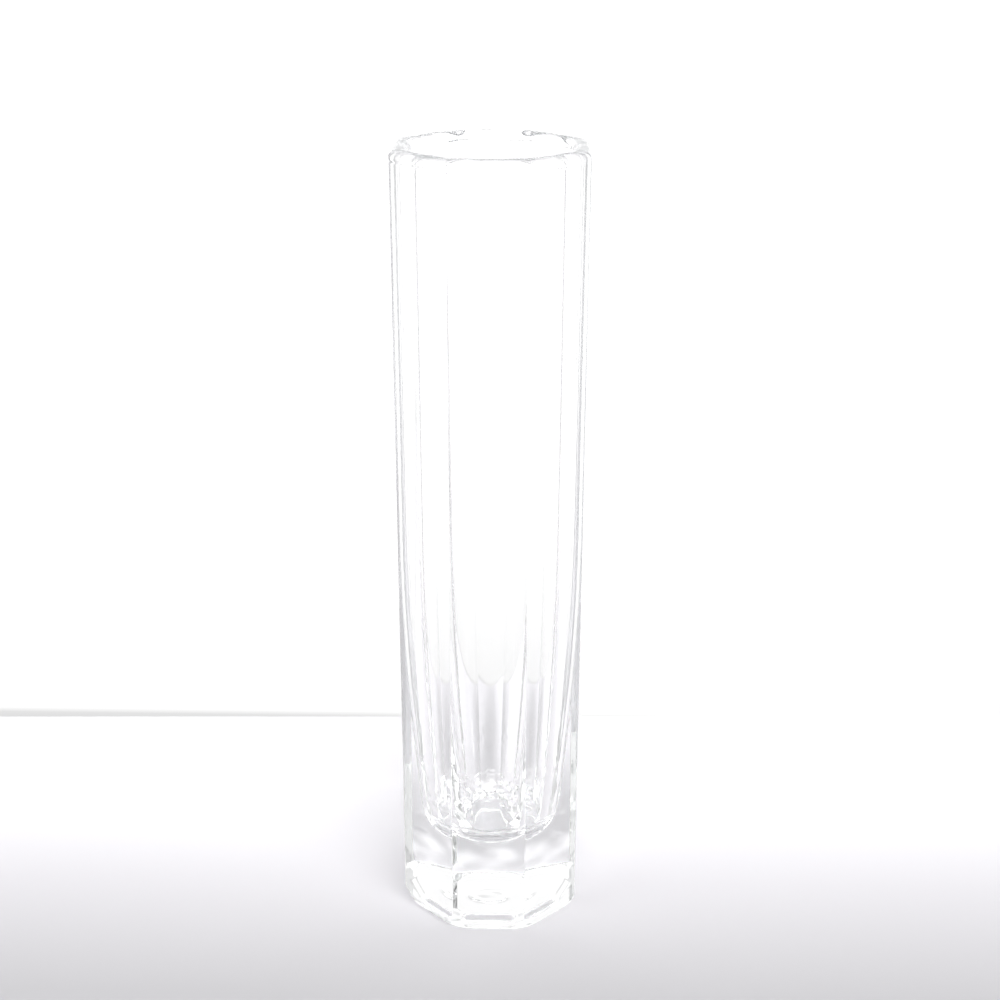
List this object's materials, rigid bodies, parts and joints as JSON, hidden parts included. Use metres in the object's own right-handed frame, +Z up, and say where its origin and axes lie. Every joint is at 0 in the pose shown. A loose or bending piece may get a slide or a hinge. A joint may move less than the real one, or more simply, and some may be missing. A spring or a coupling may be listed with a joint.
{
  "type": "bud vase",
  "caption": "Tall clear pressed-glass bud vase, octagonal outside with a round tapering cavity, thick solid foot with cut-back corners and a rounded lip; holds a single stem or a small bunch.",
  "frame": {"origin": "centre of the ring that the vase stands on, at table level", "axes": "+Z up along the vase's axis, out of its mouth; -Y and the seven other multiples of 45 degrees from it are square to a flat side"},
  "size_m": [0.0462, 0.0462, 0.2],
  "materials": {
    "clear_glass": "clear, fire-polished, glossy"
  },
  "bodies": {
    "root": {"glass_vase": "clear_glass"}
  },
  "joints": []
}
